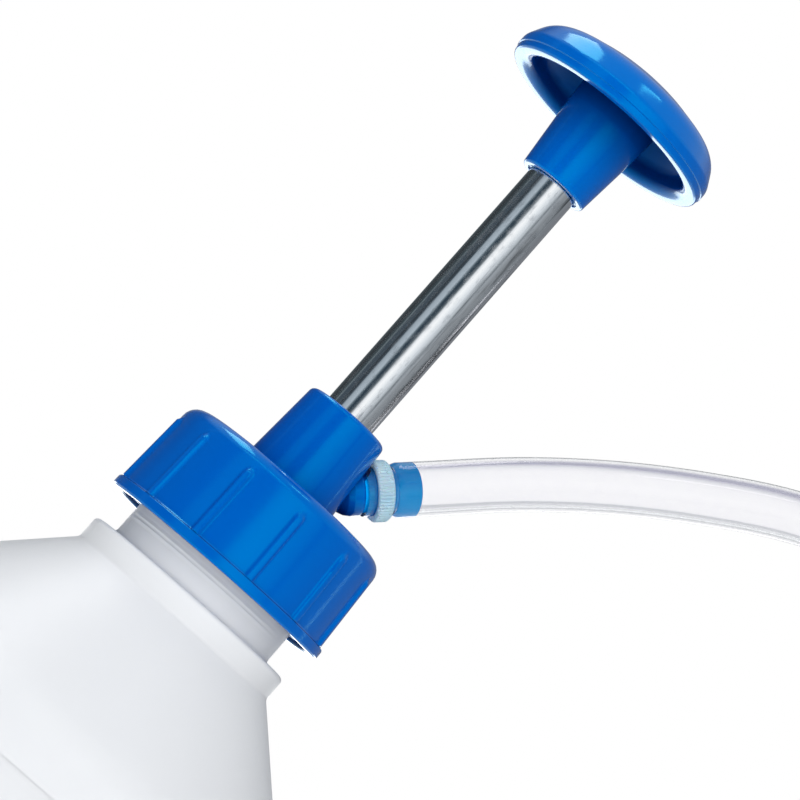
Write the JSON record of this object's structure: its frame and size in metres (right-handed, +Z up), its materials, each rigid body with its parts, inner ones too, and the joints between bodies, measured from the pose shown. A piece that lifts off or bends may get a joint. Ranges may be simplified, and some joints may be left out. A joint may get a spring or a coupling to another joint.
{
  "type": "fluid transfer pump",
  "caption": "Hand plunger pump screwed into a round plastic bottle, with a mushroom knob on a steel rod, a ribbed screw cap and a clear outlet hose.",
  "frame": {"origin": "centre of the bottle's base, on the pump axis, at the height of the surface it stands on", "axes": "+Z up along the pump axis, +X towards the side that the outlet points to"},
  "size_m": [0.3512, 0.1922, 0.4444],
  "materials": {
    "bottle_plastic": "translucent white polyethylene, soft sheen",
    "blue_plastic": "glossy moulded blue",
    "plated_rod": "bright plated steel, fine scratches",
    "steel": "polished ball steel",
    "seal_rubber": "matt black",
    "natural_plastic": "natural white moulded",
    "clamp_plastic": "translucent grey, finely knurled",
    "clear_hose": "clear soft PVC"
  },
  "bodies": {
    "bottle": {"bottle": "bottle_plastic", "hose_coil": "clear_hose", "hose_tie": "seal_rubber", "hose_nozzle": "blue_plastic"},
    "pump_head": {"pump_head": "blue_plastic", "vent_valve": "seal_rubber", "neck_gasket": "seal_rubber", "hose_clamp_ring": "clamp_plastic", "rod_guide": "natural_plastic", "rod_seal": "seal_rubber", "seal_retainer": "steel", "barrel": "natural_plastic", "barrel_oring": "seal_rubber", "foot_valve_body": "natural_plastic", "foot_valve_cage": "natural_plastic", "dip_tube": "natural_plastic", "inlet_strainer": "natural_plastic", "hose_free": "clear_hose"},
    "cap": {"screw_cap": "blue_plastic"},
    "piston_rings": {"piston_seal": "seal_rubber", "piston_wear_ring": "natural_plastic"},
    "plunger": {"pump_rod": "plated_rod", "rod_top_plug": "natural_plastic", "handle_knob": "blue_plastic", "piston_body": "natural_plastic", "piston_seat": "natural_plastic"},
    "foot_ball": {"foot_valve_ball": "steel"},
    "piston_ball": {"piston_valve_ball": "steel"}
  },
  "joints": [
    {"name": "pump_lift", "type": "slide", "parent": "bottle", "child": "pump_head", "axis": [0, 0, 1], "range_m": [0, 0.0075]},
    {"name": "cap_turn", "type": "hinge", "parent": "pump_head", "child": "cap", "pos_m": [0, 0, 0.2573], "axis": [0, 0, 1], "range_deg": [0, 540]},
    {"name": "pump_stroke", "type": "slide", "parent": "pump_head", "child": "piston_rings", "axis": [0, 0, -1], "range_m": [0, 0.088]},
    {"name": "plunger_turn", "type": "hinge", "parent": "piston_rings", "child": "plunger", "pos_m": [0, 0, 0.245], "axis": [0, 0, 1], "continuous": true},
    {"name": "foot_ball_lift", "type": "slide", "parent": "pump_head", "child": "foot_ball", "axis": [0, 0, 1], "range_m": [0, 0.003]},
    {"name": "piston_ball_lift", "type": "slide", "parent": "plunger", "child": "piston_ball", "axis": [0, 0, 1], "range_m": [0, 0.003]}
  ],
  "couplings": [
    {"joint": "cap_turn", "follows": "pump_lift", "rad_per_m": 1256.6}
  ]
}
